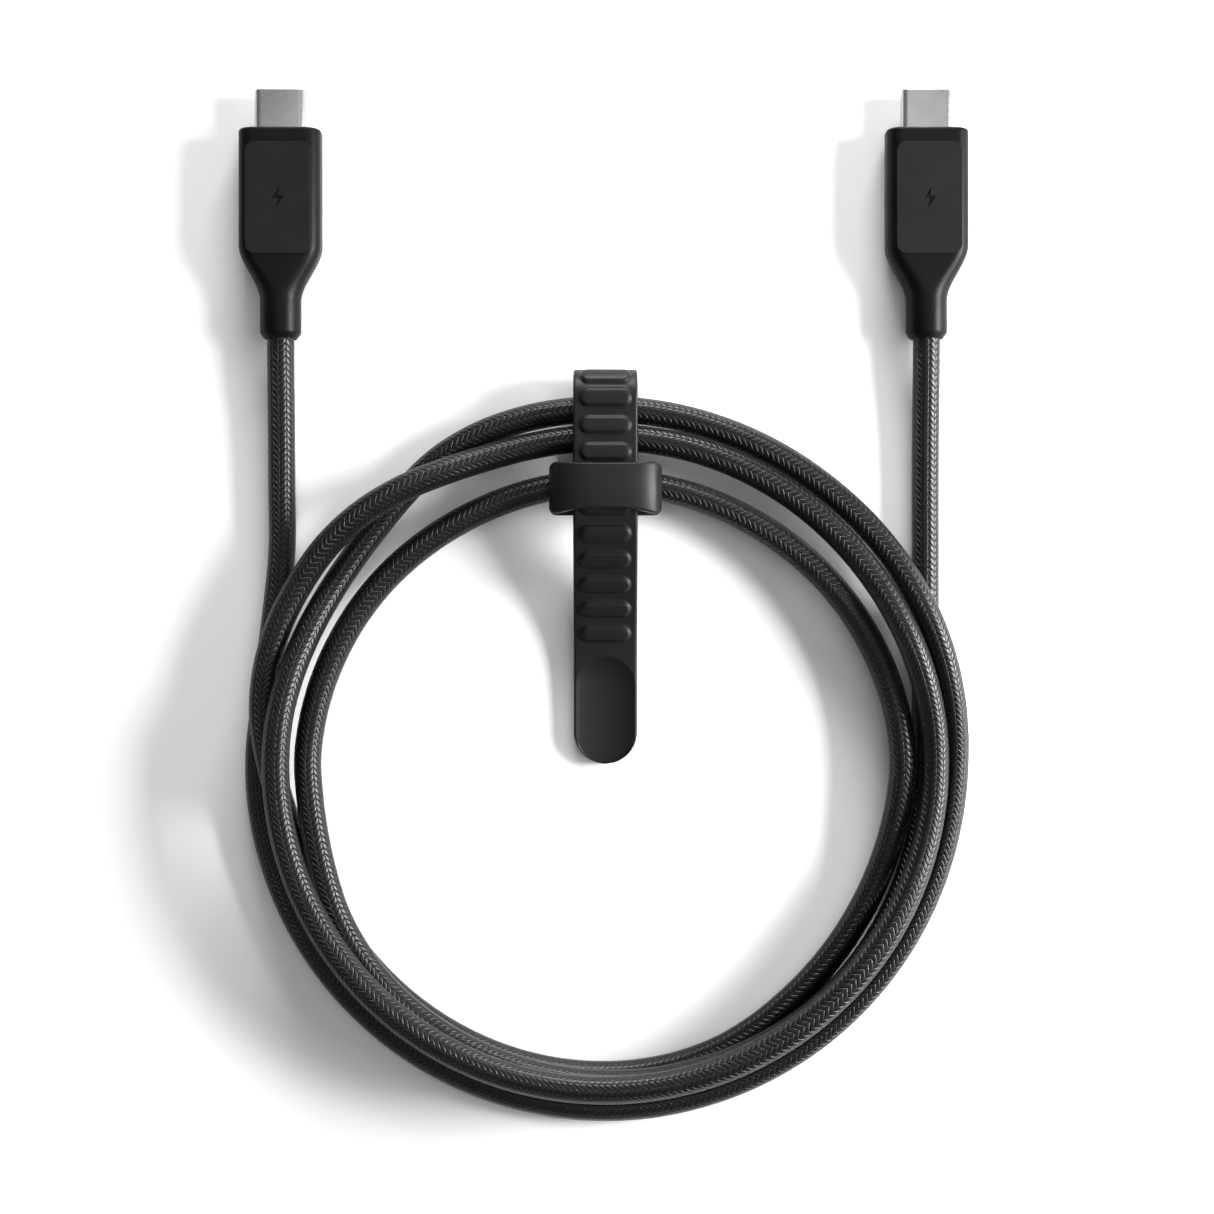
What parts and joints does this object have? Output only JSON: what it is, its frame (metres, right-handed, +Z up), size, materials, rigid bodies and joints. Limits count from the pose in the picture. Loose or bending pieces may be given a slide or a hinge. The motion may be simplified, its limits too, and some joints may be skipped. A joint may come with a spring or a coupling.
{
  "type": "charging cable",
  "caption": "Coiled braided charging cable with a flat-bodied reversible plug at each end and a soft strap tie that holds the turns together.",
  "frame": {"origin": "on the surface the cable lies on, in the middle of the box around both plugs and the strap tie", "axes": "+Y the way both plugs point, +X from the left plug to the right plug, +Z up out of the surface"},
  "size_m": [0.116, 0.1644, 0.0134],
  "materials": {
    "plug_body": "satin charcoal polycarbonate, fine spark texture",
    "shell_steel": "satin nickel-plated stainless steel",
    "black_moulding": "black glass-filled moulding",
    "contact_gold": "gold-plated contacts",
    "circuit_board": "green solder mask",
    "chip_epoxy": "black chip package",
    "tinned_shield": "tinned pressed steel",
    "red_wire": "red wire insulation",
    "black_wire": "black wire insulation and inner jacket",
    "white_wire": "off-white wire insulation and core filler",
    "blue_wire": "blue wire insulation",
    "cord_braid": "charcoal braided nylon with a silvery sheen",
    "tie_silicone": "matte charcoal silicone"
  },
  "bodies": {
    "cable": {"left_plug_body": "plug_body", "left_plug_steel_shell": "shell_steel", "left_plug_mouth_sleeve": "black_moulding", "left_plug_upper_contacts": "contact_gold", "left_plug_lower_contacts": "contact_gold", "left_plug_latch_spring": "shell_steel", "left_plug_paddle_card": "circuit_board", "left_plug_controller_chip": "chip_epoxy", "left_plug_upper_shield": "tinned_shield", "left_plug_lower_shield": "tinned_shield", "left_plug_power_wire": "red_wire", "left_plug_ground_wire": "black_wire", "left_plug_data_wire": "white_wire", "left_plug_control_wire": "blue_wire", "left_plug_cord_core": "white_wire", "left_plug_crimp_ferrule": "tinned_shield", "left_plug_inner_jacket": "black_wire", "right_plug_body": "plug_body", "right_plug_steel_shell": "shell_steel", "right_plug_mouth_sleeve": "black_moulding", "right_plug_upper_contacts": "contact_gold", "right_plug_lower_contacts": "contact_gold", "right_plug_latch_spring": "shell_steel", "right_plug_paddle_card": "circuit_board", "right_plug_controller_chip": "chip_epoxy", "right_plug_upper_shield": "tinned_shield", "right_plug_lower_shield": "tinned_shield", "right_plug_power_wire": "red_wire", "right_plug_ground_wire": "black_wire", "right_plug_data_wire": "white_wire", "right_plug_control_wire": "blue_wire", "right_plug_cord_core": "white_wire", "right_plug_crimp_ferrule": "tinned_shield", "right_plug_inner_jacket": "black_wire", "braided_cord": "cord_braid"},
    "tie": {"keeper_loop": "tie_silicone", "strap_back_run": "tie_silicone", "strap_fold": "tie_silicone"},
    "tie_tail": {"strap_tail": "tie_silicone"}
  },
  "joints": [
    {"name": "tie_slide_around_coil", "type": "hinge", "parent": "cable", "child": "tie", "pos_m": [0.00035, -0.0529, 0], "axis": [0, 0, 1], "range_deg": [-6, 6]},
    {"name": "tail_pull_through", "type": "slide", "parent": "tie", "child": "tie_tail", "axis": [0, -1, 0], "range_m": [0, 0.0042], "deforming": ["strap_fold"]}
  ]
}
